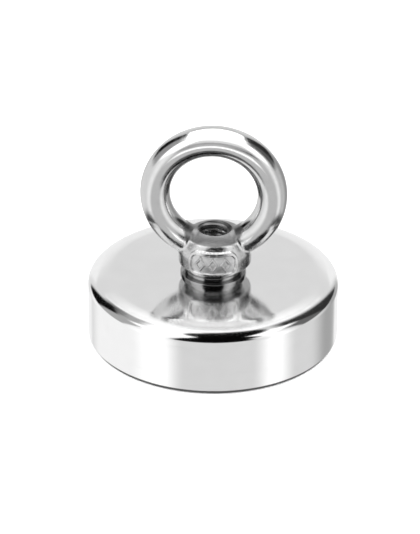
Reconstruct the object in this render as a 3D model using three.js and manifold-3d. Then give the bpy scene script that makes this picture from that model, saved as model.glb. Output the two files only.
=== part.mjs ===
// A pot magnet for magnet fishing: a plated steel cup with a ring magnet potted into it, and a cast ring
// eye nut held on top by a countersunk M6 screw. Millimetres, +Z up. The origin is the centre of the
// working face, and the eye lies in the XZ plane.

import * as THREE from 'three';
import { mergeVertices } from 'three/addons/utils/BufferGeometryUtils.js';
import Module from 'manifold-3d';

const wasm = await Module();
wasm.setup();

// Driving dimensions

const SEGMENTS = 48; // facets round every turned piece
const GLUE_LINE = 0.02; // radial gap where a piece is glued or potted to the next one

// Steel cup
const CUP_RADIUS = 24;
const CUP_HEIGHT = 13;
const CUP_EDGE_WIDTH = 4.8; // the top edge is a quarter ellipse, wider than it is deep
const CUP_EDGE_DEPTH = 2.3;
const CUP_RIM_CHAMFER = 0.3;
const RECESS_RADIUS = 20.4;
const RECESS_DEPTH = 7;
const BOLT_CLEARANCE_RADIUS = 3.3;

// Ring magnet, its glue and its potting
const MAGNET_OUTER_RADIUS = 19.6;
const MAGNET_INNER_RADIUS = 8.2;
const MAGNET_CHAMFER = 0.4;
const MAGNET_SET_BACK = 0.2; // how far the magnet's face lies behind the rim
const GLUE_THICKNESS = 0.2;
const RESIN_SET_BACK = 0.35;

// Centre bush
const BUSH_RADIUS = 7.4;
const COUNTERSINK_RADIUS = 6.45; // at the working face, 90 degree countersink

// M6 x 20 countersunk socket screw, its thread drawn plain at the pitch diameter
const THREAD_PITCH_RADIUS = 2.65;
const BOLT_LENGTH = 20;
const BOLT_SET_BACK = 0.3;
const HEAD_RADIUS = 5.8;
const HEAD_LAND = 0.2;
const BOLT_END_CHAMFER = 0.5;
const SOCKET_ACROSS_FLATS = 4;
const SOCKET_DEPTH = 2.3;

// Washers
const FLAT_WASHER_OUTER_RADIUS = 6.3;
const FLAT_WASHER_INNER_RADIUS = 3.2;
const FLAT_WASHER_THICKNESS = 0.6;
const LOCK_WASHER_OUTER_RADIUS = 5.6;
const LOCK_WASHER_INNER_RADIUS = 3.1;
const LOCK_WASHER_THICKNESS = 0.9;
const LOCK_WASHER_SPLIT = 0.7; // width of the slanted cut
const LOCK_WASHER_SPLIT_SLANT = Math.PI / 5;
const LOCK_WASHER_SPLIT_AZIMUTH = (2 / 3) * Math.PI; // from +X, so the cut faces the back
const WASHER_BREAK = 0.1; // broken edges of both washers

// Eye nut
const EYE_CENTRE_Z = 30;
const EYE_OUTER_RADIUS = 14;
const EYE_INNER_RADIUS = 8.25;
const EYE_THICKNESS = 6.8; // along the eye's own axis, Y
const EYE_RING_STEPS = 64;
const EYE_SECTION_STEPS = 20;
const HUB_RADIUS = 6.94;
const HUB_BOTTOM_Z = 15.7;
const HUB_BOTTOM_BREAK = 0.3;
const HUB_WALL_TOP_Z = 17.6; // above it the wall leans in as an arc
const HUB_SHOULDER_RADIUS = 5.6;
const HUB_SHOULDER_ANGLE = Math.PI / 4;
const DOME_RADIUS = 10; // the top between the shoulder and the tapped hole
const FOOT_RADIUS = 5.6;
const FOOT_BREAK = 0.1;
const TAPPED_RADIUS = 2.95;
const TAPPED_CHAMFER = 0.2;

// Finishes

const polishedPlate = { color: 0xe4e5e6, roughness: 0.06, metalness: 1 };
const castStainless = { color: 0xc9c8c5, roughness: 0.22, metalness: 1 };
const zincPlate = { color: 0xb9bcbf, roughness: 0.3, metalness: 1 };
const magnetPlate = { color: 0xcfcfce, roughness: 0.2, metalness: 1 };
const pottingResin = { color: 0x1a1b1d, roughness: 0.4, metalness: 0 };
const clearGlue = { color: 0xb7a781, roughness: 0.5, metalness: 0 };
const turnedSteel = { color: 0xbdbebf, roughness: 0.25, metalness: 1 };

// Shape helpers

// Points of an arc in the (radius, height) plane, from angle a to angle b, ends included.
function arc(centreR, centreZ, halfWidth, halfHeight, a, b, steps) {
  const points = [];
  for (let i = 0; i <= steps; i += 1) {
    const t = a + ((b - a) * i) / steps;
    points.push([centreR + halfWidth * Math.cos(t), centreZ + halfHeight * Math.sin(t)]);
  }
  return points;
}

// Solid of revolution about +Z. The outline runs from the axis up the outside and back to the axis, or
// counter-clockwise round a hollow section that closes on itself.
function turned(outline, closed) {
  const points = outline.map(([r, z]) => new THREE.Vector2(r, z));
  if (closed) points.push(points[0].clone());
  const geometry = new THREE.LatheGeometry(points, SEGMENTS);
  geometry.rotateX(Math.PI / 2);
  return geometry;
}

// A plain ring of rectangular section with its four edges broken by a chamfer.
function turnedRing(inner, outer, bottom, top, chamfer) {
  const outline = [
    [inner + chamfer, bottom],
    [outer - chamfer, bottom],
    [outer, bottom + chamfer],
    [outer, top - chamfer],
    [outer - chamfer, top],
    [inner + chamfer, top],
    [inner, top - chamfer],
    [inner, bottom + chamfer],
  ];
  return turned(outline, true);
}

// Plain potting ring, without chamfers.
function resinRing(inner, outer, bottom, top) {
  return turned([[inner, bottom], [outer, bottom], [outer, top], [inner, top]], true);
}

function toManifold(geometry) {
  const bare = geometry.clone();
  bare.deleteAttribute('normal');
  bare.deleteAttribute('uv');
  const merged = mergeVertices(bare, 1e-5);
  const mesh = new wasm.Mesh({
    numProp: 3,
    vertProperties: new Float32Array(merged.attributes.position.array),
    triVerts: new Uint32Array(merged.index.array),
  });
  return new wasm.Manifold(mesh);
}

function toGeometry(manifold) {
  const mesh = manifold.getMesh();
  const geometry = new THREE.BufferGeometry();
  geometry.setAttribute('position', new THREE.BufferAttribute(mesh.vertProperties.slice(), 3));
  geometry.setIndex(new THREE.BufferAttribute(mesh.triVerts.slice(), 1));
  geometry.computeVertexNormals();
  return geometry;
}

// Subparts

function steelCup() {
  const edge = arc(CUP_RADIUS - CUP_EDGE_WIDTH, CUP_HEIGHT - CUP_EDGE_DEPTH, CUP_EDGE_WIDTH,
    CUP_EDGE_DEPTH, 0, Math.PI / 2, 8);
  const outline = [
    [RECESS_RADIUS, 0],
    [CUP_RADIUS - CUP_RIM_CHAMFER, 0],
    [CUP_RADIUS, CUP_RIM_CHAMFER],
    ...edge,
    [BOLT_CLEARANCE_RADIUS, CUP_HEIGHT],
    [BOLT_CLEARANCE_RADIUS, RECESS_DEPTH],
    [RECESS_RADIUS, RECESS_DEPTH],
  ];
  return turned(outline, true);
}

function ringMagnet() {
  return turnedRing(MAGNET_INNER_RADIUS, MAGNET_OUTER_RADIUS, MAGNET_SET_BACK,
    RECESS_DEPTH - GLUE_THICKNESS, MAGNET_CHAMFER);
}

function glueFilm() {
  return resinRing(MAGNET_INNER_RADIUS + MAGNET_CHAMFER, MAGNET_OUTER_RADIUS - MAGNET_CHAMFER,
    RECESS_DEPTH - GLUE_THICKNESS, RECESS_DEPTH);
}

function outerResinRing() {
  return resinRing(MAGNET_OUTER_RADIUS + GLUE_LINE, RECESS_RADIUS - GLUE_LINE, RESIN_SET_BACK,
    RECESS_DEPTH);
}

function innerResinRing() {
  return resinRing(BUSH_RADIUS + GLUE_LINE, MAGNET_INNER_RADIUS - GLUE_LINE, RESIN_SET_BACK,
    RECESS_DEPTH);
}

function centreBush() {
  const outline = [
    [COUNTERSINK_RADIUS, 0],
    [BUSH_RADIUS, 0],
    [BUSH_RADIUS, RECESS_DEPTH],
    [BOLT_CLEARANCE_RADIUS, RECESS_DEPTH],
    [BOLT_CLEARANCE_RADIUS, COUNTERSINK_RADIUS - BOLT_CLEARANCE_RADIUS],
  ];
  return turned(outline, true);
}

function bolt() {
  const headZ = BOLT_SET_BACK;
  const coneZ = headZ + HEAD_LAND;
  const tipZ = headZ + BOLT_LENGTH;
  const body = toManifold(turned([
    [0, headZ],
    [HEAD_RADIUS, headZ],
    [HEAD_RADIUS, coneZ],
    [THREAD_PITCH_RADIUS, coneZ + HEAD_RADIUS - THREAD_PITCH_RADIUS],
    [THREAD_PITCH_RADIUS, tipZ - BOLT_END_CHAMFER],
    [THREAD_PITCH_RADIUS - BOLT_END_CHAMFER, tipZ],
    [0, tipZ],
  ], false));
  const key = new THREE.CylinderGeometry(SOCKET_ACROSS_FLATS / Math.sqrt(3),
    SOCKET_ACROSS_FLATS / Math.sqrt(3), 2 * SOCKET_DEPTH, 6);
  key.rotateX(Math.PI / 2);
  key.translate(0, 0, headZ);
  return toGeometry(body.subtract(toManifold(key)));
}

function flatWasher() {
  return turnedRing(FLAT_WASHER_INNER_RADIUS, FLAT_WASHER_OUTER_RADIUS, CUP_HEIGHT,
    CUP_HEIGHT + FLAT_WASHER_THICKNESS, WASHER_BREAK);
}

function lockWasher() {
  const bottom = CUP_HEIGHT + FLAT_WASHER_THICKNESS;
  const top = bottom + LOCK_WASHER_THICKNESS;
  const ring = toManifold(turnedRing(LOCK_WASHER_INNER_RADIUS, LOCK_WASHER_OUTER_RADIUS, bottom, top,
    WASHER_BREAK));
  const reach = 2 * LOCK_WASHER_OUTER_RADIUS;
  const cutter = new THREE.BoxGeometry(reach, LOCK_WASHER_SPLIT, reach);
  cutter.rotateX(LOCK_WASHER_SPLIT_SLANT);
  cutter.translate(reach / 2 + LOCK_WASHER_INNER_RADIUS / 2, 0, (bottom + top) / 2);
  cutter.rotateZ(LOCK_WASHER_SPLIT_AZIMUTH);
  return toGeometry(ring.subtract(toManifold(cutter)));
}

// The eye: an elliptical section carried round a circle in the XZ plane.
function eyeRing() {
  const halfWidth = (EYE_OUTER_RADIUS - EYE_INNER_RADIUS) / 2;
  const section = arc((EYE_OUTER_RADIUS + EYE_INNER_RADIUS) / 2, 0, halfWidth, EYE_THICKNESS / 2,
    0, 2 * Math.PI, EYE_SECTION_STEPS);
  const points = section.map(([r, y]) => new THREE.Vector2(r, y));
  const ring = new THREE.LatheGeometry(points, EYE_RING_STEPS);
  ring.translate(0, 0, EYE_CENTRE_Z);
  return ring;
}

function eyeNut() {
  const footZ = CUP_HEIGHT + FLAT_WASHER_THICKNESS + LOCK_WASHER_THICKNESS;
  const shoulder = arc(HUB_RADIUS - HUB_SHOULDER_RADIUS, HUB_WALL_TOP_Z, HUB_SHOULDER_RADIUS,
    HUB_SHOULDER_RADIUS, 0, HUB_SHOULDER_ANGLE, 4);
  const [edgeR, edgeZ] = shoulder[shoulder.length - 1];
  const domeCentreZ = edgeZ - Math.sqrt(DOME_RADIUS ** 2 - edgeR ** 2);
  const mouthR = TAPPED_RADIUS + TAPPED_CHAMFER;
  const dome = arc(0, domeCentreZ, DOME_RADIUS, DOME_RADIUS, Math.acos(edgeR / DOME_RADIUS),
    Math.acos(mouthR / DOME_RADIUS), 3);
  const mouthZ = dome[dome.length - 1][1];
  const outside = [
    [0, footZ],
    [FOOT_RADIUS - FOOT_BREAK, footZ],
    [FOOT_RADIUS, footZ + FOOT_BREAK],
    [FOOT_RADIUS, HUB_BOTTOM_Z],
    [HUB_RADIUS - HUB_BOTTOM_BREAK, HUB_BOTTOM_Z],
    [HUB_RADIUS, HUB_BOTTOM_Z + HUB_BOTTOM_BREAK],
    ...shoulder,
    ...dome.slice(1),
    [0, mouthZ],
  ];
  const drill = [
    [0, footZ - 1],
    [mouthR + 1, footZ - 1],
    [TAPPED_RADIUS, footZ + TAPPED_CHAMFER],
    [TAPPED_RADIUS, mouthZ - TAPPED_CHAMFER],
    [mouthR + 1, mouthZ + 1],
    [0, mouthZ + 1],
  ];
  const hub = toManifold(turned(outside, false));
  const solid = hub.add(toManifold(eyeRing())).subtract(toManifold(turned(drill, false)));
  return toGeometry(solid);
}

// Assembly: a fixed stack, the screw through it and the eye nut on top

function mesh(name, geometry, finish) {
  const piece = new THREE.Mesh(geometry, new THREE.MeshStandardMaterial(finish));
  piece.name = name;
  return piece;
}

const magnetStack = new THREE.Group();
magnetStack.add(
  mesh('steel_cup', steelCup(), polishedPlate),
  mesh('ring_magnet', ringMagnet(), magnetPlate),
  mesh('glue_film', glueFilm(), clearGlue),
  mesh('outer_resin_ring', outerResinRing(), pottingResin),
  mesh('inner_resin_ring', innerResinRing(), pottingResin),
  mesh('centre_bush', centreBush(), turnedSteel),
  mesh('flat_washer', flatWasher(), zincPlate),
  mesh('lock_washer', lockWasher(), zincPlate),
);

const magnetFishingMagnet = new THREE.Group();
magnetFishingMagnet.add(
  magnetStack,
  mesh('bolt', bolt(), zincPlate),
  mesh('eye_nut', eyeNut(), castStainless),
);

export default magnetFishingMagnet;
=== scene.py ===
"""A pot magnet for magnet fishing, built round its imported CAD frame.

Lengths in this file are millimetres until a mesh or a light is made, where MM turns them into metres.
The origin is the centre of the working face, +Z is up, and the eye lies in the XZ plane.
"""

import math

import bmesh
import bpy
import numpy as np
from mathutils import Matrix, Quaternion, Vector


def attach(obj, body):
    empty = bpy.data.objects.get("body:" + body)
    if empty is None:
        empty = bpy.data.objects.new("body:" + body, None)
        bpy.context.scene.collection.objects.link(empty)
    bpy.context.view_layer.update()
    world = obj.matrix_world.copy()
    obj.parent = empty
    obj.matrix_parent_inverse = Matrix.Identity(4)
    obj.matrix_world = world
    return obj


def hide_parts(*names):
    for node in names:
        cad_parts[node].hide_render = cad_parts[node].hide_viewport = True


MM = 0.001

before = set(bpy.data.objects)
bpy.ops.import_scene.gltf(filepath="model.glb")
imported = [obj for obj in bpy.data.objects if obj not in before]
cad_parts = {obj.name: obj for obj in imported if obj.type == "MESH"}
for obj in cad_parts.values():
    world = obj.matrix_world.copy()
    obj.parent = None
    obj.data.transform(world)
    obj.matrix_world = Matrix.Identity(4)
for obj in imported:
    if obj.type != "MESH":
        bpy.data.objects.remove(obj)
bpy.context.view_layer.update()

# ---------------------------------------------------------------- sizes
# The main ones are the CAD source's unless a comment says otherwise. Small edges and threads are finer.

COLUMNS = 288  # facets round a large turned piece
SMALL_COLUMNS = 160  # round a small one
SHARP_ANGLE = math.radians(28)
TOOL_OVERSHOOT = 1.0  # how far a cutting tool stands out of the piece it cuts

CUP_RADIUS = 24.0
CUP_HEIGHT = 13.0
CUP_EDGE_WIDTH = 4.8
CUP_EDGE_DEPTH = 2.15  # 2.3 in the CAD
CUP_RIM_BREAK = 0.85  # rounding where the wall meets the working face, a 0.3 chamfer in the CAD
CUP_BREAK = 0.15  # chamfer at the mouths of the recess and of the screw's hole
RECESS_RADIUS = 20.4
RECESS_DEPTH = 7.0
RECESS_CORNER = 0.4  # left by the turning tool at the recess's bottom
BOLT_CLEARANCE_RADIUS = 3.3

MAGNET_OUTER = 19.6
MAGNET_INNER = 8.2
MAGNET_BREAK = 0.4
MAGNET_FACE = 0.2
MAGNET_BACK = 6.8
GLUE_BACK = 7.0
GLUE_INSET = 0.4  # the film ends this far inside the magnet's edges
GLUE_EDGE = 0.08
RESIN_FACE = 0.35
RESIN_GAP = 0.02
RESIN_SAG = 0.1  # how far the middle of the poured resin lies behind its edges
RESIN_STEPS = 12

BUSH_RADIUS = 7.4
COUNTERSINK_RADIUS = 6.45
BUSH_BREAK = 0.12
COUNTERSINK_SUPPORT = 0.04  # from the countersink's edge to a point that keeps the face's shading flat

PITCH = 1.0  # M6 coarse
THREAD_SLOPE = 1.732  # radial fall per axial millimetre of a 60 degree thread
BOLT_CREST = 2.95
BOLT_ROOT = 2.39
BOLT_PITCH_RADIUS = 2.65
NUT_CREST = 2.5
NUT_ROOT = 3.03
NUT_PITCH_RADIUS = 2.7
THREAD_COLUMNS = 96
ROWS_PER_PITCH = 16

BOLT_FACE = 0.3
BOLT_TIP = 20.3
HEAD_RADIUS = 5.8
HEAD_LAND = 0.2
HEAD_BREAK = 0.08
HEAD_NECK = 0.25  # how far the head's cone runs on inside the thread's crests
THREAD_START = 0.4  # above the head's cone
BOLT_TIP_CHAMFER = 0.5
SOCKET_ACROSS_FLATS = 4.0
SOCKET_DEPTH = 2.3
SOCKET_POINT = 0.6  # depth of the drilled point at the socket's bottom

FLAT_WASHER = (3.2, 6.3, 13.0, 13.6)  # inner and outer radius, bottom and top
LOCK_WASHER = (3.1, 5.6, 13.6, 14.5)
FLAT_WASHER_DRAWN = 0.16  # rounding of the edges on the punch's side
FLAT_WASHER_BREAK = 0.04
LOCK_WASHER_EDGE = 0.1
LOCK_SPLIT_WIDTH = 0.7
LOCK_SPLIT_SLANT = math.radians(36)
LOCK_SPLIT_AZIMUTH = math.radians(120)

EYE_CENTRE_Z = 30.0
EYE_MAJOR = 11.125
EYE_HALF_WIDTH = 2.875  # of the ring's section, radially
EYE_HALF_THICKNESS = 3.4  # along Y
HUB_RADIUS = 6.94
HUB_BOTTOM = 15.7
HUB_BOTTOM_BREAK = 0.3
HUB_WALL_TOP = 17.6
HUB_SHOULDER_RADIUS = 5.6
HUB_SHIFT = 0.3  # the hub is cast this far to +X of the ring and the tapped hole, not in the CAD
DOME_RADIUS = 10.0
DOME_EDGE_R = 5.4  # radius and height of a point of the dome, a little lower than the CAD's
DOME_EDGE_Z = 21.45
DOME_BREAK = 0.12
FOOT_RADIUS = 5.6
FOOT_BOTTOM = 14.5
FOOT_BREAK = 0.12
FOOT_OVERLAP = 0.6  # how far the foot reaches up into the hub
FOOT_BLEND = 0.12  # fillet between the foot and the hub's underside
MOUTH_RADIUS = 3.05  # of the tapped hole's own countersinks, where they meet the dome and the foot
MOUTH_CUT_RADIUS = 3.15  # of the countersink at the top, drilled in line with the hub
TAP_PAST_FOOT = 0.6  # how far the tap stands out of the casting
TAP_PAST_MOUTH = 0.8
JUNCTION_BLEND = 0.55  # fillet where the ring runs into the hub

# Raised frame on the hub's front, with three plain lozenges in it
PANEL_HALF_WIDTH = 4.72  # measured round the hub, to the middle of the rim
PANEL_BOTTOM = 16.1
PANEL_TOP = 20.15
PANEL_CORNER = 1.3
PANEL_RIM_HALF_WIDTH = 0.34
PANEL_RIM_HEIGHT = 0.34
PANEL_FLOOR_DEPTH = 0.08
LOZENGE_SPACING = 2.5
LOZENGE_HALF_WIDTH = 0.85
LOZENGE_HALF_HEIGHT = 1.2
LOZENGE_LINE = 0.2
LOZENGE_HEIGHT = 0.3
RELIEF_SOFTNESS = 0.24

VOXEL = 0.13  # of the grid that the casting's skin is taken from
GRID_LOW = (-14.4, -7.6, 14.2)  # the grid's box, a little larger than the casting
GRID_HIGH = (14.4, 7.6, 44.4)
SKIN_DEPTH = 0.03  # faces deeper in the casting than this belong to the tapped hole
FLATTEST = 0.05  # the least squared slope of the distance that a step towards the skin reckons with


# ---------------------------------------------------------------- mesh helpers


def arc(centre, half_width, half_height, start, end, steps):
    """Points of an elliptic arc in the (radius, height) plane, both ends included."""
    angles = np.linspace(math.radians(start), math.radians(end), steps + 1)
    return [
        (centre[0] + half_width * math.cos(a), centre[1] + half_height * math.sin(a))
        for a in angles
    ]


def with_support(outline, closed, reach=0.1):
    """Adds a point, reach from both ends of each long straight run, so that its shading stays flat."""
    points = []
    count = len(outline)
    for i in range(count if closed else count - 1):
        a = Vector(outline[i])
        b = Vector(outline[(i + 1) % count])
        points.append(tuple(a))
        length = (b - a).length
        if length > 6 * reach:
            points.append(tuple(a.lerp(b, reach / length)))
            points.append(tuple(a.lerp(b, 1 - reach / length)))
    if not closed:
        points.append(tuple(outline[-1]))
    return points


def object_from(name, vertices, faces):
    """A mesh object from points in millimetres: welded, facing outwards, smooth between sharp edges."""
    mesh = bpy.data.meshes.new(name)
    mesh.from_pydata([tuple(v) for v in np.asarray(vertices) * MM], [], faces)
    tidy = bmesh.new()
    tidy.from_mesh(mesh)
    bmesh.ops.remove_doubles(tidy, verts=tidy.verts, dist=2e-7)
    bmesh.ops.dissolve_degenerate(tidy, dist=1e-7, edges=tidy.edges)
    bmesh.ops.recalc_face_normals(tidy, faces=tidy.faces)
    tidy.to_mesh(mesh)
    tidy.free()
    smooth(mesh)
    made = bpy.data.objects.new(name, mesh)
    bpy.context.scene.collection.objects.link(made)
    return made


def smooth(mesh):
    """Smooth shading, with an edge kept sharp where the faces meet at more than SHARP_ANGLE."""
    mesh.polygons.foreach_set("use_smooth", [True] * len(mesh.polygons))
    mesh.set_sharp_from_angle(angle=SHARP_ANGLE)
    mesh.update()


def grid_faces(columns, rows, wrap_rows):
    """Quads of a grid of columns by rows, where point (column, row) is number column * rows + row."""
    faces = []
    for column in range(columns - 1):
        for row in range(rows if wrap_rows else rows - 1):
            following = (row + 1) % rows
            here = column * rows
            there = here + rows
            faces.append((here + row, there + row, there + following, here + following))
    return faces


def turned(name, outline, columns=COLUMNS, closed=True):
    """A piece of revolution.

    A closed outline is a ring's section. An open one starts and ends on the axis.
    """
    points = np.array(with_support(outline, closed))
    angles = np.linspace(0, 2 * math.pi, columns + 1)
    radius = points[:, 0]
    height = points[:, 1]
    vertices = [np.c_[radius * math.cos(a), radius * math.sin(a), height] for a in angles]
    faces = grid_faces(columns + 1, len(points), closed)
    return object_from(name, np.concatenate(vertices), faces)


def ring_outline(inner, outer, bottom, top, edge, steps=4):
    """A rectangular section with its four corners rounded to radius edge."""
    corners = [
        ((outer - edge, bottom + edge), -90),
        ((outer - edge, top - edge), 0),
        ((inner + edge, top - edge), 90),
        ((inner + edge, bottom + edge), 180),
    ]
    outline = []
    for centre, start in corners:
        outline += arc(centre, edge, edge, start, start + 90, steps)
    return outline


def thread_wave(phase):
    """Distance in pitches from the middle of the nearest crest, 0 to 0.5."""
    return np.abs((phase + 0.5) % 1.0 - 0.5)


def flank_radius(pitch_radius, phase):
    """Radius of a thread's flank, which passes pitch_radius a quarter of a pitch from the crest."""
    return pitch_radius + (0.25 - thread_wave(phase)) * PITCH * THREAD_SLOPE


def bolt_radius(z, phase):
    """Radius of the screw's skin. The end of the thread runs out in a chamfer."""
    thread = np.clip(flank_radius(BOLT_PITCH_RADIUS, phase), BOLT_ROOT, BOLT_CREST)
    chamfer = BOLT_CREST - BOLT_TIP_CHAMFER + (BOLT_TIP - z)
    return np.minimum(thread, chamfer)


def tap_radius(z, phase):
    """Radius of the tapped hole's skin, opened by a countersink at the mouth and at the foot."""
    thread = np.clip(flank_radius(NUT_PITCH_RADIUS, phase), NUT_CREST, NUT_ROOT)
    mouth = MOUTH_RADIUS + (z - dome_height(MOUTH_RADIUS))
    foot = MOUTH_RADIUS + (FOOT_BOTTOM - z)
    return np.maximum(thread, np.maximum(mouth, foot))


def threaded(name, below, above, radius_at, bottom, top):
    """A solid whose outline is below, then a thread from bottom to top, then above.

    The thread's rows climb one pitch in a turn, so the last column meets the first one a pitch higher.
    """
    step = PITCH / ROWS_PER_PITCH
    rows = np.arange(bottom - PITCH - step, top + step, step)
    points = []
    for column in range(THREAD_COLUMNS + 1):
        turn = column / THREAD_COLUMNS
        z = np.clip(rows + PITCH * turn, bottom, top)
        radius = radius_at(z, z / PITCH - turn)
        outline = np.r_[np.array(below), np.c_[radius, z], np.array(above)]
        angle = 2 * math.pi * turn
        x = outline[:, 0] * math.cos(angle)
        y = outline[:, 0] * math.sin(angle)
        points.append(np.c_[x, y, outline[:, 1]])
    faces = grid_faces(THREAD_COLUMNS + 1, len(points[0]), False)
    return object_from(name, np.concatenate(points), faces)


def cut(piece, tool):
    """Takes tool's solid out of piece's mesh and removes the tool."""
    modifier = piece.modifiers.new("cut", "BOOLEAN")
    modifier.operation = "DIFFERENCE"
    modifier.solver = "EXACT"
    modifier.object = tool
    bpy.context.view_layer.update()
    graph = bpy.context.evaluated_depsgraph_get()
    mesh = bpy.data.meshes.new_from_object(piece.evaluated_get(graph))
    piece.modifiers.clear()
    old = piece.data
    piece.data = mesh
    mesh.name = piece.name
    bpy.data.meshes.remove(old)
    bpy.data.objects.remove(tool)
    smooth(mesh)


# ---------------------------------------------------------------- turned and pressed pieces


def build_cup():
    rim_centre = (CUP_RADIUS - CUP_RIM_BREAK, CUP_RIM_BREAK)
    edge_centre = (CUP_RADIUS - CUP_EDGE_WIDTH, CUP_HEIGHT - CUP_EDGE_DEPTH)
    outline = [(RECESS_RADIUS + CUP_BREAK, 0.0)]
    outline += arc(rim_centre, CUP_RIM_BREAK, CUP_RIM_BREAK, -90, 0, steps=6)
    outline += arc(edge_centre, CUP_EDGE_WIDTH, CUP_EDGE_DEPTH, 0, 90, steps=96)
    outline += [
        (BOLT_CLEARANCE_RADIUS + CUP_BREAK, CUP_HEIGHT),
        (BOLT_CLEARANCE_RADIUS, CUP_HEIGHT - CUP_BREAK),
        (BOLT_CLEARANCE_RADIUS, RECESS_DEPTH),
        (RECESS_RADIUS - RECESS_CORNER, RECESS_DEPTH),
        (RECESS_RADIUS, RECESS_DEPTH - RECESS_CORNER),
        (RECESS_RADIUS, CUP_BREAK),
    ]
    return turned("cup_shell", outline)


def build_magnet():
    outline = ring_outline(MAGNET_INNER, MAGNET_OUTER, MAGNET_FACE, MAGNET_BACK, MAGNET_BREAK, steps=8)
    return turned("magnet_ring", outline)


def build_glue():
    inner = MAGNET_INNER + GLUE_INSET
    outer = MAGNET_OUTER - GLUE_INSET
    outline = ring_outline(inner, outer, MAGNET_BACK, GLUE_BACK, GLUE_EDGE)
    return turned("glue_layer", outline)


def resin_outline(inner, outer):
    """A poured ring: square behind, and in front a meniscus that climbs a little at both walls."""
    middle = (inner + outer) / 2
    half = (outer - inner) / 2
    front = [
        (middle + half * t, RESIN_FACE + RESIN_SAG * (1 - t * t))
        for t in np.linspace(-1, 1, RESIN_STEPS + 1)
    ]
    return front + [(outer, GLUE_BACK), (inner, GLUE_BACK)]


def build_outer_resin():
    outline = resin_outline(MAGNET_OUTER + RESIN_GAP, RECESS_RADIUS - RESIN_GAP)
    return turned("potting_outer", outline)


def build_inner_resin():
    outline = resin_outline(BUSH_RADIUS + RESIN_GAP, MAGNET_INNER - RESIN_GAP)
    return turned("potting_inner", outline, SMALL_COLUMNS)


def build_bush():
    outline = [
        (BUSH_RADIUS - BUSH_BREAK, 0.0),
        (BUSH_RADIUS, BUSH_BREAK),
        (BUSH_RADIUS, GLUE_BACK - BUSH_BREAK),
        (BUSH_RADIUS - BUSH_BREAK, GLUE_BACK),
        (BOLT_CLEARANCE_RADIUS + BUSH_BREAK, GLUE_BACK),
        (BOLT_CLEARANCE_RADIUS, GLUE_BACK - BUSH_BREAK),
        (BOLT_CLEARANCE_RADIUS, COUNTERSINK_RADIUS - BOLT_CLEARANCE_RADIUS),
        (COUNTERSINK_RADIUS, 0.0),
        (COUNTERSINK_RADIUS + COUNTERSINK_SUPPORT, 0.0),
    ]
    return turned("bush_turned", outline, SMALL_COLUMNS)


def build_flat_washer():
    """Punched: the top edges are drawn round, the bottom ones are nearly sharp."""
    inner, outer, bottom, top = FLAT_WASHER
    drawn = FLAT_WASHER_DRAWN
    chamfer = FLAT_WASHER_BREAK
    outline = [(inner + chamfer, bottom), (outer - chamfer, bottom), (outer, bottom + chamfer)]
    outline += arc((outer - drawn, top - drawn), drawn, drawn, 0, 90, steps=6)
    outline += arc((inner + drawn, top - drawn), drawn, drawn, 90, 180, steps=6)
    outline += [(inner, bottom + chamfer)]
    return turned("washer_flat", outline, SMALL_COLUMNS)


def build_lock_washer():
    """A ring cut through on a slant. Each point's angle depends on its height beside the cut."""
    inner, outer, bottom, top = LOCK_WASHER
    section = np.array(ring_outline(inner, outer, bottom, top, LOCK_WASHER_EDGE))
    middle_radius = (inner + outer) / 2
    lean = (section[:, 1] - (bottom + top) / 2) * math.tan(LOCK_SPLIT_SLANT) / middle_radius
    half_gap = LOCK_SPLIT_WIDTH / 2 / math.cos(LOCK_SPLIT_SLANT) / middle_radius
    start = LOCK_SPLIT_AZIMUTH + half_gap + lean
    sweep = 2 * math.pi - 2 * half_gap
    points = []
    for turn in np.linspace(0, 1, SMALL_COLUMNS + 1):
        angle = start + sweep * turn
        x = section[:, 0] * np.cos(angle)
        y = section[:, 0] * np.sin(angle)
        points.append(np.c_[x, y, section[:, 1]])
    count = len(section)
    faces = grid_faces(SMALL_COLUMNS + 1, count, True)
    last = SMALL_COLUMNS * count
    faces.append(tuple(range(count)))
    faces.append(tuple(last + i for i in reversed(range(count))))
    return object_from("washer_spring", np.concatenate(points), faces)


def hexagon_tool():
    """The hexagon socket's broach: a six-sided prism with a drilled point."""
    corner = SOCKET_ACROSS_FLATS / math.sqrt(3)
    outline = [
        (0.0, BOLT_FACE - TOOL_OVERSHOOT),
        (corner, BOLT_FACE - TOOL_OVERSHOOT),
        (corner, BOLT_FACE + SOCKET_DEPTH - SOCKET_POINT),
        (0.0, BOLT_FACE + SOCKET_DEPTH),
    ]
    return turned("socket_tool", outline, columns=6, closed=False)


def build_screw():
    cone_end = BOLT_FACE + HEAD_LAND + HEAD_RADIUS - BOLT_CREST
    below = [
        (0.0, BOLT_FACE),
        (HEAD_RADIUS - HEAD_BREAK, BOLT_FACE),
        (HEAD_RADIUS, BOLT_FACE + HEAD_BREAK),
        (HEAD_RADIUS, BOLT_FACE + HEAD_LAND),
        (BOLT_CREST - HEAD_NECK, cone_end + HEAD_NECK),
    ]
    above = [(0.0, BOLT_TIP)]
    thread_bottom = cone_end + THREAD_START
    screw = threaded("screw_threaded", below, above, bolt_radius, thread_bottom, BOLT_TIP)
    cut(screw, hexagon_tool())
    return screw


# ---------------------------------------------------------------- the cast eye nut


def dome_height(radius):
    """Height of the dome on top of the hub at a distance from the axis."""
    centre_z = DOME_EDGE_Z - math.sqrt(DOME_RADIUS**2 - DOME_EDGE_R**2)
    return centre_z + math.sqrt(DOME_RADIUS**2 - radius**2)


def blended(a, b, width):
    """Union of two distances with a fillet about as wide as width."""
    overlap = np.maximum(width - np.abs(a - b), 0) / width
    return np.minimum(a, b) - overlap * overlap * width / 4


def common(a, b, edge):
    """Intersection of two distances with its edge rounded to radius edge."""
    inside = np.minimum(np.maximum(a, b), -edge)
    return inside + np.hypot(np.maximum(a + edge, 0), np.maximum(b + edge, 0))


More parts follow.
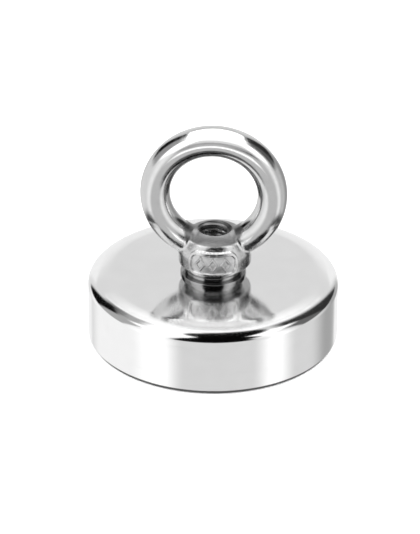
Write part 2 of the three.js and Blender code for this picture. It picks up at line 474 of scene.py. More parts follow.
def ellipse_distance(u, v, half_u, half_v):
    """Signed distance to an ellipse round the origin, true close to its outline."""
    near = np.hypot(u / half_u, v / half_v)
    slope = np.hypot(u / half_u**2, v / half_v**2)
    return near * (near - 1) / np.maximum(slope, 1e-6)


def soft_step(distance, width):
    """1 inside, 0 outside, smooth over a band of that width centred on the outline."""
    t = np.clip(0.5 - distance / width, 0, 1)
    return t * t * (3 - 2 * t)


def rounded_box(u, v, half_u, half_v, corner):
    """Signed distance to a rectangle round the origin with its corners rounded to radius corner."""
    du = np.abs(u) - (half_u - corner)
    dv = np.abs(v) - (half_v - corner)
    outside = np.hypot(np.maximum(du, 0), np.maximum(dv, 0))
    return outside + np.minimum(np.maximum(du, dv), 0) - corner


def panel_relief(x, y, z):
    """Height of the raised frame and its lozenges above the hub's front."""
    across = HUB_RADIUS * np.arctan2(x - HUB_SHIFT, -y)
    up = z - (PANEL_BOTTOM + PANEL_TOP) / 2
    half_height = (PANEL_TOP - PANEL_BOTTOM) / 2
    frame_line = rounded_box(across, up, PANEL_HALF_WIDTH, half_height, PANEL_CORNER)
    rim = soft_step(np.abs(frame_line) - PANEL_RIM_HALF_WIDTH, RELIEF_SOFTNESS)
    floor = soft_step(frame_line, 2 * RELIEF_SOFTNESS)
    column = across - LOZENGE_SPACING * np.clip(np.round(across / LOZENGE_SPACING), -1, 1)
    slope = math.hypot(1 / LOZENGE_HALF_WIDTH, 1 / LOZENGE_HALF_HEIGHT)
    reach = np.abs(column) / LOZENGE_HALF_WIDTH + np.abs(up) / LOZENGE_HALF_HEIGHT
    lozenge = soft_step(np.abs((reach - 1) / slope) - LOZENGE_LINE, RELIEF_SOFTNESS)
    relief = LOZENGE_HEIGHT * lozenge - PANEL_FLOOR_DEPTH * floor
    return np.maximum(relief, PANEL_RIM_HEIGHT * rim)


def eye_distance(x, y, z):
    """Signed distance to the ring of the eye."""
    from_ring = np.hypot(x, z - EYE_CENTRE_Z) - EYE_MAJOR
    return ellipse_distance(from_ring, y, EYE_HALF_WIDTH, EYE_HALF_THICKNESS)


def hub_distance(x, y, z):
    """Signed distance to the hub with its shoulder, its dome and its foot."""
    radius = np.hypot(x - HUB_SHIFT, y)
    shoulder_r = HUB_RADIUS - HUB_SHOULDER_RADIUS
    shoulder = np.hypot(np.maximum(radius - shoulder_r, 0), z - HUB_WALL_TOP)
    wall = np.where(z > HUB_WALL_TOP, shoulder - HUB_SHOULDER_RADIUS, radius - HUB_RADIUS)
    dome_centre = dome_height(0.0) - DOME_RADIUS
    dome = np.hypot(radius, z - dome_centre) - DOME_RADIUS
    top = common(wall, dome, DOME_BREAK)
    hub = common(top, HUB_BOTTOM - z, HUB_BOTTOM_BREAK)
    foot_middle = (FOOT_BOTTOM + HUB_BOTTOM) / 2 + FOOT_OVERLAP / 2
    foot_ends = np.abs(z - foot_middle) - (foot_middle - FOOT_BOTTOM)
    foot = common(np.hypot(x, y) - FOOT_RADIUS, foot_ends, FOOT_BREAK)
    return blended(hub, foot, FOOT_BLEND)


def casting_distance(points):
    """Signed distance in millimetres to the whole casting, before its hole is tapped."""
    x, y, z = points[:, 0], points[:, 1], points[:, 2]
    body = blended(eye_distance(x, y, z), hub_distance(x, y, z), JUNCTION_BLEND)
    near = (y < 0) & (z < PANEL_TOP + 1)
    body[near] -= panel_relief(x[near], y[near], z[near])
    return body


def casting_slope(points, step=0.02):
    """Gradient of casting_distance by central differences."""
    slope = np.empty_like(points)
    for axis in range(3):
        shift = np.zeros(3)
        shift[axis] = step
        ahead = casting_distance(points + shift)
        behind = casting_distance(points - shift)
        slope[:, axis] = (ahead - behind) / (2 * step)
    return slope


def settle(points, rounds):
    """Moves points along the gradient until they lie on the casting's skin."""
    for _ in range(rounds):
        slope = casting_slope(points)
        length_squared = np.maximum((slope**2).sum(1), FLATTEST)
        points = points - slope * (casting_distance(points) / length_squared)[:, None]
    return points


def sampled_inside(low, counts):
    """Which points of the grid lie inside the casting."""
    inside = np.zeros(counts, bool)
    ys, zs = (low[a] + VOXEL * np.arange(counts[a]) for a in (1, 2))
    plane = np.stack(np.meshgrid(ys, zs, indexing="ij"), -1).reshape(-1, 2)
    for i in range(counts[0]):
        x = np.full(len(plane), low[0] + VOXEL * i)
        inside[i] = (casting_distance(np.c_[x, plane]) < 0).reshape(counts[1], counts[2])
    return inside


def net_of(inside):
    """Surface nets: the cells that the skin crosses, and a quad round each grid edge that it crosses."""
    cells = tuple(n - 1 for n in inside.shape)
    corners = np.zeros(cells, np.int8)
    for shift in np.ndindex(2, 2, 2):
        corners += inside[tuple(slice(start, start + n) for start, n in zip(shift, cells))]
    crossed = (corners > 0) & (corners < 8)
    number = np.full(crossed.shape, -1)
    number[crossed] = np.arange(crossed.sum())
    quads = []
    for axis in range(3):
        ahead = np.roll(inside, -1, axis)
        changes = np.argwhere(inside != ahead)
        side_a, side_b = [np.eye(3, dtype=int)[a] for a in ((axis + 1) % 3, (axis + 2) % 3)]
        ring = [changes - side_a - side_b, changes - side_b, changes, changes - side_a]
        quad = np.stack([number[tuple(cell.T)] for cell in ring], 1)
        outward = inside[tuple(changes.T)]
        quad[~outward] = quad[~outward][:, ::-1]
        quads.append(quad)
    return np.argwhere(crossed), np.concatenate(quads)


def relaxed(points, quads, rounds):
    """Evens out the net: each point moves to the middle of its neighbours, then back to the skin."""
    ends = np.concatenate([quads[:, [i, (i + 1) % 4]] for i in range(4)])
    degree = np.bincount(ends.ravel(), minlength=len(points))[:, None]
    for _ in range(rounds):
        total = np.zeros_like(points)
        np.add.at(total, ends[:, 0], points[ends[:, 1]])
        np.add.at(total, ends[:, 1], points[ends[:, 0]])
        points = settle(total / degree, rounds=2)
    return points


def vectors_of(elements, attribute):
    """One row of three numbers for each of a mesh's elements."""
    values = np.empty(len(elements) * 3, np.float32)
    elements.foreach_get(attribute, values)
    return values.reshape(-1, 3)


def shade_by_distance(mesh):
    """Gives the casting's skin the normals of its distance field. The tapped hole keeps its own."""
    normals = vectors_of(mesh.corner_normals, "vector")
    slope = casting_slope(vectors_of(mesh.vertices, "co").astype(float) / MM)
    slope /= np.linalg.norm(slope, axis=1)[:, None]
    depth = casting_distance(vectors_of(mesh.polygons, "center").astype(float) / MM)
    corner_vertex = np.empty(len(mesh.loops), np.int32)
    mesh.loops.foreach_get("vertex_index", corner_vertex)
    sizes = np.empty(len(mesh.polygons), np.int32)
    mesh.polygons.foreach_get("loop_total", sizes)
    on_skin = np.repeat(depth > -SKIN_DEPTH, sizes)
    normals[on_skin] = slope[corner_vertex[on_skin]]
    mesh.normals_split_custom_set(normals.tolist())


def countersink_tool():
    """The cone that opens the tapped hole's mouth."""
    surface = dome_height(MOUTH_CUT_RADIUS)
    outline = [
        (0.0, surface + TOOL_OVERSHOOT),
        (MOUTH_CUT_RADIUS + TOOL_OVERSHOOT, surface + TOOL_OVERSHOOT),
        (0.0, surface - MOUTH_CUT_RADIUS),
    ]
    tool = turned("countersink_tool", outline, SMALL_COLUMNS, closed=False)
    tool.location.x = HUB_SHIFT * MM
    return tool


def tap_tool():
    """The threaded plug that the tapped hole is cut with."""
    bottom = FOOT_BOTTOM - TAP_PAST_FOOT
    top = dome_height(MOUTH_RADIUS) + TAP_PAST_MOUTH
    return threaded("tap_tool", [(0.0, bottom)], [(0.0, top)], tap_radius, bottom, top)


def build_eye_nut():
    low = np.array(GRID_LOW)
    counts = tuple(int(n) for n in np.ceil((np.array(GRID_HIGH) - low) / VOXEL))
    cells, quads = net_of(sampled_inside(low, counts))
    points = settle(low + VOXEL * (cells + 0.5), rounds=3)
    points = relaxed(points, quads, rounds=2)
    mesh = bpy.data.meshes.new("eye_nut_cast")
    mesh.from_pydata((points * MM).tolist(), [], quads.tolist())
    nut = bpy.data.objects.new("eye_nut_cast", mesh)
    bpy.context.scene.collection.objects.link(nut)
    cut(nut, tap_tool())
    cut(nut, countersink_tool())
    shade_by_distance(nut.data)
    return nut


# ---------------------------------------------------------------- node helpers

# Sockets of the colour Mix node, whose names are shared with its other data types
MIX_FIRST = 6
MIX_SECOND = 7
MIX_RESULT = 2


class Tree:
    """Adds nodes to one node tree and joins them.

    A value is a number, a colour or another node's output.
    """

    def __init__(self, tree):
        self.tree = tree
        tree.nodes.clear()

    def node(self, kind, **settings):
        made = self.tree.nodes.new(kind)
        for name, value in settings.items():
            setattr(made, name, value)
        return made

    def give(self, socket, value):
        if isinstance(value, bpy.types.NodeSocket):
            self.tree.links.new(value, socket)
        else:
            socket.default_value = value

    def math(self, operation, *values):
        made = self.node("ShaderNodeMath", operation=operation)
        for socket, value in zip(made.inputs, values):
            self.give(socket, value)
        return made.outputs[0]

    def ramp(self, value, start, end, low=0.0, high=1.0):
        """Goes smoothly from low to high while value goes from start to end."""
        made = self.node("ShaderNodeMapRange", interpolation_type="SMOOTHSTEP")
        self.give(made.inputs["Value"], value)
        self.give(made.inputs["From Min"], start)
        self.give(made.inputs["From Max"], end)
        self.give(made.inputs["To Min"], low)
        self.give(made.inputs["To Max"], high)
        return made.outputs["Result"]

    def band(self, value, rise_start, rise_end, fall_start, fall_end):
        """0, then 1 from rise_end to fall_start, then 0 again, with smooth edges."""
        rising = self.ramp(value, rise_start, rise_end)
        falling = self.ramp(value, fall_start, fall_end, 1.0, 0.0)
        return self.math("MULTIPLY", rising, falling)

    def object_position(self):
        return self.node("ShaderNodeTexCoord").outputs["Object"]

    def stretched(self, vector, scale):
        made = self.node("ShaderNodeMapping")
        self.give(made.inputs["Vector"], vector)
        made.inputs["Scale"].default_value = scale
        return made.outputs["Vector"]

    def noise(self, vector, per_mm, detail=3.0, roughness=0.5):
        """Noise from 0 to 1 whose features are about 1 / per_mm millimetres."""
        made = self.node("ShaderNodeTexNoise")
        self.give(made.inputs["Vector"], vector)
        made.inputs["Scale"].default_value = per_mm / MM
        made.inputs["Detail"].default_value = detail
        made.inputs["Roughness"].default_value = roughness
        return made.outputs["Fac"]

    def mixed(self, amount, first, second):
        """A colour between two, each a (red, green, blue) or another node's output."""
        made = self.node("ShaderNodeMix", data_type="RGBA")
        self.give(made.inputs["Factor"], amount)
        for index, colour in ((MIX_FIRST, first), (MIX_SECOND, second)):
            self.give(made.inputs[index], (*colour, 1) if isinstance(colour, tuple) else colour)
        return made.outputs[MIX_RESULT]

    def bump(self, height, depth_mm, normal=None):
        """Bump whose height goes from 0 to depth_mm."""
        made = self.node("ShaderNodeBump")
        made.inputs["Strength"].default_value = 1.0
        made.inputs["Distance"].default_value = depth_mm * MM
        self.give(made.inputs["Height"], height)
        if normal is not None:
            self.give(made.inputs["Normal"], normal)
        return made.outputs["Normal"]

    def split(self, vector):
        parts = self.node("ShaderNodeSeparateXYZ")
        self.give(parts.inputs[0], vector)
        return parts.outputs

    def round_axis(self, vector):
        """Distance from the part's axis in millimetres, angle round it, and height in millimetres."""
        x, y, z = self.split(vector)
        squares = self.math("ADD", self.math("MULTIPLY", x, x), self.math("MULTIPLY", y, y))
        radius = self.math("MULTIPLY", self.math("SQRT", squares), 1 / MM)
        return radius, self.math("ARCTAN2", y, x), self.math("MULTIPLY", z, 1 / MM)

    def joined(self, x, y, z):
        made = self.node("ShaderNodeCombineXYZ")
        for socket, value in zip(made.inputs, (x, y, z)):
            self.give(socket, value)
        return made.outputs[0]


def material(name, metallic, colour, roughness, normal=None, tangent=None, **fixed):
    """A material from functions that make its colour, roughness, normal and tangent in a Tree.

    The fixed values go on the shader's own sockets, named with _ for a space.
    """
    made = bpy.data.materials.new(name)
    made.use_nodes = True
    tree = Tree(made.node_tree)
    shader = tree.node("ShaderNodeBsdfPrincipled")
    shader.inputs["Metallic"].default_value = metallic
    tree.give(shader.inputs["Base Color"], colour(tree))
    tree.give(shader.inputs["Roughness"], roughness(tree))
    if normal:
        tree.give(shader.inputs["Normal"], normal(tree))
    if tangent:
        tree.give(shader.inputs["Tangent"], tangent(tree))
    for socket, value in fixed.items():
        shader.inputs[socket.replace("_", " ")].default_value = value
    output = tree.node("ShaderNodeOutputMaterial")
    tree.give(output.inputs["Surface"], shader.outputs[0])
    return made


# ---------------------------------------------------------------- materials


# Where a material changes over a piece, as the spans in millimetres that the change takes
SHOULDER_RADII = (19.3, 20.0, 21.6, 22.2)  # the band of the pot's top edge that is a little duller
SHOULDER_BOTTOM = (11.0, 12.0)
RUBBED_RIM = (0.1, 0.9)
ROOT_RADII = (2.35, 2.9)
# the dome: rougher, and its colour darkened as painted shade against the overhead softbox
ROUGH_SHADED_DOME_EDGE = (5.6, 6.4)
ROUGH_SHADED_DOME_HEIGHTS = (21.2, 21.5, 23.2, 24.0)
# below this the foot's colour is darkened as painted shade, for the crevice over the washers
HUB_BASE = (15.5, 15.9)
HUB_TOP = (20.6, 22.6)
PANEL_HEIGHTS = (16.2, 16.5, 19.5, 19.9)
PANEL_SIDES = (0.58, 0.66)  # radians to either side of the front

HAIRLINES_OUT = 12.0  # hairlines per millimetre of radius
HAIRLINES_ROUND = 3.0  # breaks in a hairline per radian


def grey(value):
    return (value, value, value)


def polished_plate():
    """Near-mirror plating: faintly cloudy, hairlines round the axis, a duller shoulder, a rubbed rim."""

    def colour(t):
        return t.mixed(t.noise(t.object_position(), 0.25, 2.0), grey(0.88), grey(0.93))

    def hairlines(t, radius, angle, height):
        stretched = t.joined(
            t.math("MULTIPLY", radius, HAIRLINES_OUT), t.math("MULTIPLY", angle, HAIRLINES_ROUND), height
        )
        return t.noise(stretched, 1.0 * MM, 2.0)  # the vector is in millimetres already

    def roughness(t):
        position = t.object_position()
        radius, angle, height = t.round_axis(position)
        haze = t.ramp(hairlines(t, radius, angle, height), 0.55, 0.75, 0.0, 0.04)
        cloud = t.ramp(t.noise(position, 0.4, 3.0), 0.35, 0.7, 0.08, 0.105)
        rim_wear = t.math("MULTIPLY", t.ramp(height, *RUBBED_RIM, 0.3, 0.0), t.noise(position, 1.5, 3.0))
        shoulder = t.math(
            "MULTIPLY", t.band(radius, *SHOULDER_RADII), t.ramp(height, *SHOULDER_BOTTOM, 0.0, 0.11)
        )
        rough = t.math("ADD", t.math("ADD", haze, cloud), rim_wear)
        return t.math("ADD", rough, shoulder)

    def normal(t):
        return t.bump(t.noise(t.object_position(), 0.6, 3.0), 0.0012)

    def tangent(t):
        return t.node("ShaderNodeTangent", direction_type="RADIAL", axis="Z").outputs[0]

    streaks = {"Anisotropic": 0.9, "Anisotropic_Rotation": 0.25}
    return material("polished_plate", 1.0, colour, roughness, normal, tangent, **streaks)


def magnet_plate():
    """Barrel-plated nickel: bright, slightly uneven, with small knocks."""

    def colour(t):
        return t.mixed(t.noise(t.object_position(), 0.5, 3.0), (0.70, 0.69, 0.67), (0.80, 0.79, 0.77))

    def roughness(t):
        return t.ramp(t.noise(t.object_position(), 1.2, 4.0), 0.3, 0.7, 0.14, 0.32)

    def normal(t):
        fine = t.bump(t.noise(t.object_position(), 6.0, 4.0, 0.6), 0.004)
        return t.bump(t.noise(t.object_position(), 0.8, 2.0), 0.01, fine)

    return material("magnet_plate", 1.0, colour, roughness, normal)


def clear_glue():
    """Cured glue film: yellowish, uneven and half glossy."""

    def colour(t):
        return t.mixed(t.noise(t.object_position(), 1.0, 3.0), (0.50, 0.42, 0.26), (0.66, 0.58, 0.40))

    def roughness(t):
        return t.ramp(t.noise(t.object_position(), 3.0, 2.0), 0.3, 0.7, 0.25, 0.5)

    def normal(t):
        return t.bump(t.noise(t.object_position(), 3.0, 3.0), 0.02)

    return material("clear_glue", 0.0, colour, roughness, normal)


def potting_resin():
    """Cast black resin: slightly glossy, with pinholes and dust."""

    def colour(t):
        return t.mixed(t.noise(t.object_position(), 4.0, 4.0, 0.6), grey(0.012), grey(0.035))

    def roughness(t):
        return t.ramp(t.noise(t.object_position(), 2.0, 3.0), 0.3, 0.7, 0.28, 0.5)

    def normal(t):
        pin = t.ramp(t.noise(t.object_position(), 5.0, 1.0), 0.68, 0.74, 1.0, 0.0)
        wave = t.bump(t.noise(t.object_position(), 0.7, 2.0), 0.03)
        return t.bump(pin, 0.03, wave)

    return material("potting_resin", 0.0, colour, roughness, normal)


def turned_steel():
    """Turned bush: fine rings from the tool and a light oxide tone."""

    def rings(t):
        radius, _, height = t.round_axis(t.object_position())
        along = t.math("ADD", radius, height)
        wobble = t.noise(t.object_position(), 0.5, 2.0)
        return t.math("SINE", t.math("ADD", t.math("MULTIPLY", along, 55.0), wobble))

    def colour(t):
        return t.mixed(t.noise(t.object_position(), 0.8, 4.0), grey(0.56), grey(0.66))

    def roughness(t):
        return t.ramp(t.noise(t.object_position(), 1.5, 3.0), 0.3, 0.7, 0.2, 0.36)

    def normal(t):
        return t.bump(rings(t), 0.004)

    return material("turned_steel", 1.0, colour, roughness, normal)


def zinc_plate():
    """Bright zinc on pressed steel: satin, with the grain of the strip. Its colour is darkened as
    painted shade, for the crevice under the hub.
    """

    def colour(t):
        # painted shade: a dark grey for zinc, for the crevice between the hub and the cup where the
        # washers sit
        return t.mixed(t.noise(t.object_position(), 0.7, 3.0), grey(0.34), grey(0.42))

    def roughness(t):
        return t.ramp(t.noise(t.object_position(), 2.0, 4.0), 0.3, 0.7, 0.07, 0.13)

    def normal(t):
        grain = t.noise(t.stretched(t.object_position(), (0.3, 1.0, 1.0)), 6.0, 3.0)
        return t.bump(grain, 0.003)

    return material("zinc_plate", 1.0, colour, roughness, normal)


def screw_steel():
    """Stainless screw: cold-headed, its thread rolled, its colour darker in the thread's roots."""

    def colour(t):
        radius, _, _ = t.round_axis(t.object_position())
        return t.mixed(t.ramp(radius, *ROOT_RADII), grey(0.40), grey(0.68))

    def roughness(t):
        return t.ramp(t.noise(t.object_position(), 1.5, 4.0), 0.3, 0.7, 0.2, 0.38)

    def normal(t):
        return t.bump(t.noise(t.object_position(), 4.0, 4.0), 0.006)

    return material("screw_steel", 1.0, colour, roughness, normal)


def cast_stainless():
    """Investment-cast stainless: the ring tumbled bright, the dome rougher with its colour darkened as
    painted shade, the foot darkened in colour as painted shade, the hub pitted.
    """

    def ragged(t, position):
        """A wandering of 0.4 mm either way, for the edges of the zones."""
        return t.math("MULTIPLY_ADD", t.noise(position, 2.5, 3.0), 0.8, -0.4)

    def dome_rough_and_shaded_mask(t, position):
        """The dome on top of the hub, rougher and darkened in colour as painted shade."""
        radius, _, height = t.round_axis(position)
        edge = t.math("ADD", radius, ragged(t, position))
        near_axis = t.ramp(edge, *ROUGH_SHADED_DOME_EDGE, 1.0, 0.0)
        return t.math("MULTIPLY", near_axis, t.band(height, *ROUGH_SHADED_DOME_HEIGHTS))

    def hub_mask(t, position):
        """The hub, without the foot below it."""
        _, _, height = t.round_axis(position)
        below_top = t.ramp(t.math("ADD", height, ragged(t, position)), *HUB_TOP, 1.0, 0.0)
        return t.math("MULTIPLY", below_top, t.ramp(height, *HUB_BASE))

    def panel_mask(t, position):
        """Inside the raised frame on the hub's front."""
        _, angle, height = t.round_axis(position)
        aside = t.math("ABSOLUTE", t.math("ADD", angle, math.pi / 2))
        return t.math("MULTIPLY", t.ramp(aside, *PANEL_SIDES, 1.0, 0.0), t.band(height, *PANEL_HEIGHTS))

    def colour(t):
        position = t.object_position()
        _, _, height = t.round_axis(position)
        tumbled = t.mixed(t.noise(position, 0.5, 4.0), grey(0.60), grey(0.68))
        # painted shade: the dome's colour is darkened so that it stays dark under the overhead softbox
        dome_painted_shade = t.mixed(t.noise(position, 3.0, 4.0, 0.6), grey(0.13), grey(0.22))
        # painted shade: the foot below the hub is darker in colour, for the crevice over the washers
        tumbled_with_shaded_foot = t.mixed(t.ramp(height, *HUB_BASE), grey(0.34), tumbled)
        return t.mixed(dome_rough_and_shaded_mask(t, position), tumbled_with_shaded_foot, dome_painted_shade)

    def roughness(t):
        position = t.object_position()
        rough = t.ramp(t.noise(position, 1.2, 4.0), 0.3, 0.7, 0.1, 0.18)
        rough = t.math("MULTIPLY_ADD", dome_rough_and_shaded_mask(t, position), 0.2, rough)
        rough = t.math("MULTIPLY_ADD", panel_mask(t, position), 0.2, rough)
        return t.math("MULTIPLY_ADD", hub_mask(t, position), 0.1, rough)

    def normal(t):
        position = t.object_position()
        skin = t.bump(t.noise(position, 0.45, 2.0), 0.012)
        pits = t.ramp(t.noise(position, 3.2, 2.0), 0.28, 0.42)
        pitted = t.bump(t.math("MULTIPLY", pits, hub_mask(t, position)), 0.02, skin)
        return t.bump(t.noise(position, 7.0, 3.0), 0.0045, pitted)

    return material("cast_stainless", 1.0, colour, roughness, normal)


def floor_paint():
    """Matt white paint, a little uneven."""

    def colour(t):
        return t.mixed(t.noise(t.object_position(), 0.02, 3.0), grey(0.86), grey(0.88))

    def roughness(t):
        return t.ramp(t.noise(t.object_position(), 0.05, 3.0), 0.3, 0.7, 0.75, 0.85)

    return material("floor_paint", 0.0, colour, roughness)


# ---------------------------------------------------------------- studio

CAMERA_AZIMUTH = 3.3  # degrees round the part from its front, towards +X
CAMERA_ELEVATION = 30.23
CAMERA_DISTANCE = 724.0
CAMERA_ROLL = 0.36
AIM_UP = 12.25  # how far above the origin the picture's centre is, across the line of sight
AIM_RIGHT = -0.63
SENSOR = 36.0
LENS = 252.8

# What a polished surface sees of the studio. Each soft-edged patch is a brightness and the span of
# azimuth and elevation it fills, in degrees, azimuth from the camera towards the right.
# Later patches cover earlier ones.
ROOM_GREY = 0.73
WHITE = 1.25
BLACK = 0.002
STUDIO_PATCHES = (
    # brightness, azimuth from, to, elevation from, to, softness
    (0.99, -140, -62, -60, 42, 14),
    (0.40, 115, 150, -60, 10, 14),
    (WHITE, -170, -35, 42, 78, 2),
    (WHITE, 55, 115, 48, 66, 2),
    (WHITE, -70, -38, -60, 44, 12),
    (WHITE, 48, 72, -60, 50, 12),
    (0.42, -122, -84, 6, 50, 4),
    (0.42, -148, -112, 44, 60, 4),
    (0.2, -152, -124, 38, 50, 4),
    (BLACK, -143, -118, 5, 44, 3),
    (0.14, 84, 124, 8, 50, 4),
    (0.03, 112, 143, 8, 62, 4),
)
BEHIND_PATCHES = (
    # brightness, azimuth from (both sides), elevation from, to, softness
    (0.95, 150, -60, 26, 4),
    (0.75, 150, 25, 36, 3),
    (0.98, 150, 36, 43, 2),
    (WHITE, 150, 42, 71, 2),
)
FRONT_BLOCKS = (
    # azimuth from, to, elevation from, to, softness: the dark camera side
    (-33, 50, 41, 120, 2),
    (-37, 37, 14, 60, 5),
)
LOW_DARK = 0.1
LOW_DARK_EDGE = (-44, -36)  # elevations that the dark below fades over
ZENITH_LEFT = 79  # elevation where the dark ceiling begins, at the left of the part and at its right
ZENITH_RIGHT = 67
ZENITH_TURN = 0.3  # how far to either side, of a direction's length, the one goes over into the other
ZENITH_SOFTNESS = 2
BACK_OF_ROOM = 200  # an azimuth past straight behind, so that both sides' patches meet there
BACKDROP_STRENGTH = 1.05  # what the camera sees
FILL_STRENGTH = 3.2  # what lights matt surfaces

EYE_LIGHTS = (
    # name, centre, size across X, size along its other side, point it faces, brightness
    ("overhead_softbox", (0, 120, 340), 420, 360, (0, 120, 0), 2.2),
    ("front_card", (0, -12, 86), 90, 66, (0, 0, 86), 1.7),
    ("front_card_middle", (0, -12, 50.5), 90, 5, (0, 0, 50.5), 1.05),
    ("front_card_low", (0, -12, 46), 90, 4, (0, 0, 46), 0.55),
    ("front_fill", (0, -260, 20), 220, 60, (0, 0, 20), 1.2),
)

FLOOR_REACH = 1500
FLOOR_POINTS = 13  # along a side
FLOOR_HEIGHT = -0.02  # just under the working face


def patch_mask(tree, azimuth, elevation, span):
    """1 inside the span of azimuth and elevation, with soft edges."""
    left, right, low, high, soft = span
    sideways = tree.band(azimuth, left - soft, left + soft, right - soft, right + soft)
    upwards = tree.band(elevation, low - soft, low + soft, high - soft, high + soft)
    return tree.math("MULTIPLY", sideways, upwards)


def painted(tree, value, brightness, mask):
    """Value where the mask is 0, brightness where it is 1."""
    difference = tree.math("SUBTRACT", brightness, value)
    return tree.math("MULTIPLY_ADD", difference, mask, value)


def studio_brightness(tree):
    """Brightness of the studio in the direction of the ray."""
    x, y, z = tree.split(tree.node("ShaderNodeTexCoord").outputs["Generated"])
    turn_cos = math.cos(math.radians(CAMERA_AZIMUTH))
    turn_sin = math.sin(math.radians(CAMERA_AZIMUTH))
    across = tree.math("MULTIPLY_ADD", x, turn_cos, tree.math("MULTIPLY", y, turn_sin))
    towards = tree.math("MULTIPLY_ADD", x, turn_sin, tree.math("MULTIPLY", y, -turn_cos))
    azimuth = tree.math("DEGREES", tree.math("ARCTAN2", across, towards))
    elevation = tree.math("DEGREES", tree.math("ARCSINE", z))
    aside = tree.math("ABSOLUTE", azimuth)

    value = ROOM_GREY
    for brightness, *span in STUDIO_PATCHES:
        value = painted(tree, value, brightness, patch_mask(tree, azimuth, elevation, span))
    for brightness, side, low, high, soft in BEHIND_PATCHES:
        mask = patch_mask(tree, aside, elevation, (side, BACK_OF_ROOM, low, high, soft))
        value = painted(tree, value, brightness, mask)
    for span in FRONT_BLOCKS:
        value = painted(tree, value, BLACK, patch_mask(tree, azimuth, elevation, span))
    zenith_edge = tree.ramp(across, -ZENITH_TURN, ZENITH_TURN, ZENITH_LEFT, ZENITH_RIGHT)
    above_edge = tree.math("SUBTRACT", elevation, zenith_edge)
    value = painted(tree, value, BLACK, tree.ramp(above_edge, -ZENITH_SOFTNESS, ZENITH_SOFTNESS))
    return painted(tree, value, LOW_DARK, tree.ramp(elevation, *LOW_DARK_EDGE, 1.0, 0.0))


def background(tree, colour, strength=1.0):
    made = tree.node("ShaderNodeBackground")
    tree.give(made.inputs["Color"], colour)
    made.inputs["Strength"].default_value = strength
    return made.outputs[0]


def chosen(tree, for_others, for_these, is_one_of_these):
    """One of two backgrounds, by the kind of ray."""
    made = tree.node("ShaderNodeMixShader")
    tree.give(made.inputs[0], is_one_of_these)
    tree.give(made.inputs[1], for_others)
    tree.give(made.inputs[2], for_these)
    return made.outputs[0]


def build_world():
    """The painted studio for polished surfaces, plain white for the camera, even light for matt ones."""
    world = bpy.data.worlds.new("studio")
    bpy.context.scene.world = world
    world.use_nodes = True
    tree = Tree(world.node_tree)
    rays = tree.node("ShaderNodeLightPath")
    studio = background(tree, studio_brightness(tree))
    fill = background(tree, (1, 1, 1, 1), FILL_STRENGTH)
    backdrop = background(tree, (1, 1, 1, 1), BACKDROP_STRENGTH)
    lighting = chosen(tree, studio, fill, rays.outputs["Is Diffuse Ray"])
    seen = chosen(tree, lighting, backdrop, rays.outputs["Is Camera Ray"])
    output = tree.node("ShaderNodeOutputWorld")
    tree.give(output.inputs["Surface"], seen)


def build_eye_light(name, centre, width, depth, facing, brightness, receivers):
    """A soft light that only the eye nut receives and that the camera doesn't see."""
    data = bpy.data.lights.new(name, "AREA")
    data.shape = "RECTANGLE"
    data.size = width * MM
    data.size_y = depth * MM
    data.energy = brightness * math.pi * data.size * data.size_y
    light = bpy.data.objects.new(name, data)
    light.location = Vector(centre) * MM
    light.rotation_mode = "QUATERNION"
    light.rotation_quaternion = (Vector(facing) - Vector(centre)).to_track_quat("-Z", "Y")
    light.visible_camera = False
    light.light_linking.receiver_collection = receivers
    bpy.context.scene.collection.objects.link(light)


def build_eye_lights(eye_nut):
    receivers = bpy.data.collections.new("eye_nut_only")
    receivers.objects.link(eye_nut)
    for row in EYE_LIGHTS:
        build_eye_light(*row, receivers)


def build_floor():
    """A wide pale floor just under the working face. The plating sees the studio through it."""
    steps = np.linspace(-FLOOR_REACH, FLOOR_REACH, FLOOR_POINTS)
    points = [(x, y, FLOOR_HEIGHT) for x in steps for y in steps]
    made = object_from("floor", np.array(points), grid_faces(FLOOR_POINTS, FLOOR_POINTS, False))
    for face in made.data.polygons:
        if face.normal.z < 0:
            face.flip()
    made.visible_glossy = False
    made.data.materials.append(floor_paint())
    return made


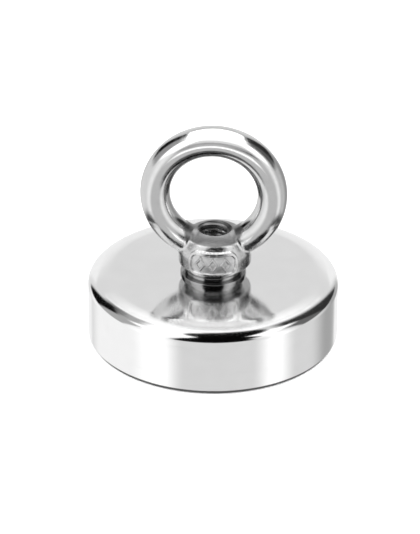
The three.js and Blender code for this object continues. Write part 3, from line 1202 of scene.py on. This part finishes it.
def build_camera():
    azimuth = math.radians(CAMERA_AZIMUTH)
    elevation = math.radians(CAMERA_ELEVATION)
    level = math.cos(elevation)
    away = Vector((math.sin(azimuth) * level, -math.cos(azimuth) * level, math.sin(elevation)))
    right = Vector((math.cos(azimuth), math.sin(azimuth), 0))
    up = away.cross(right)
    position = away * CAMERA_DISTANCE
    target = up * AIM_UP + right * AIM_RIGHT
    data = bpy.data.cameras.new("camera")
    data.sensor_width = SENSOR
    data.sensor_fit = "AUTO"
    data.lens = LENS
    data.clip_start = 0.05
    data.clip_end = 10
    camera = bpy.data.objects.new("camera", data)
    camera.rotation_mode = "QUATERNION"
    camera.location = position * MM
    roll = Quaternion((0, 0, 1), math.radians(CAMERA_ROLL))
    camera.rotation_quaternion = (target - position).to_track_quat("-Z", "Y") @ roll
    bpy.context.scene.collection.objects.link(camera)
    bpy.context.scene.camera = camera


# ---------------------------------------------------------------- assembly

PIECES = (
    # piece, material, material slot, CAD node, body
    (build_cup, polished_plate, "polished_plate", "steel_cup", "magnet"),
    (build_magnet, magnet_plate, "magnet_plate", "ring_magnet", "magnet"),
    (build_glue, clear_glue, "clear_glue", "glue_film", "magnet"),
    (build_outer_resin, potting_resin, "potting_resin", "outer_resin_ring", "magnet"),
    (build_inner_resin, potting_resin, "potting_resin", "inner_resin_ring", "magnet"),
    (build_bush, turned_steel, "turned_steel", "centre_bush", "magnet"),
    (build_flat_washer, zinc_plate, "zinc_plate", "flat_washer", "magnet"),
    (build_lock_washer, zinc_plate, "zinc_plate", "lock_washer", "magnet"),
    (build_screw, screw_steel, "screw_steel", "bolt", "screw"),
    (build_eye_nut, cast_stainless, "cast_stainless", "eye_nut", "eye"),
)

bpy.context.scene.view_settings.view_transform = "Standard"
build_camera()
build_world()
floor = build_floor()

made_materials = {}
for build, make_material, slot_name, node, body in PIECES:
    piece = build()
    if slot_name not in made_materials:
        made_materials[slot_name] = make_material()
    piece.data.materials.clear()
    piece.data.materials.append(made_materials[slot_name])
    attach(piece, body)
    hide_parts(node)

build_eye_lights(bpy.data.objects["eye_nut_cast"])
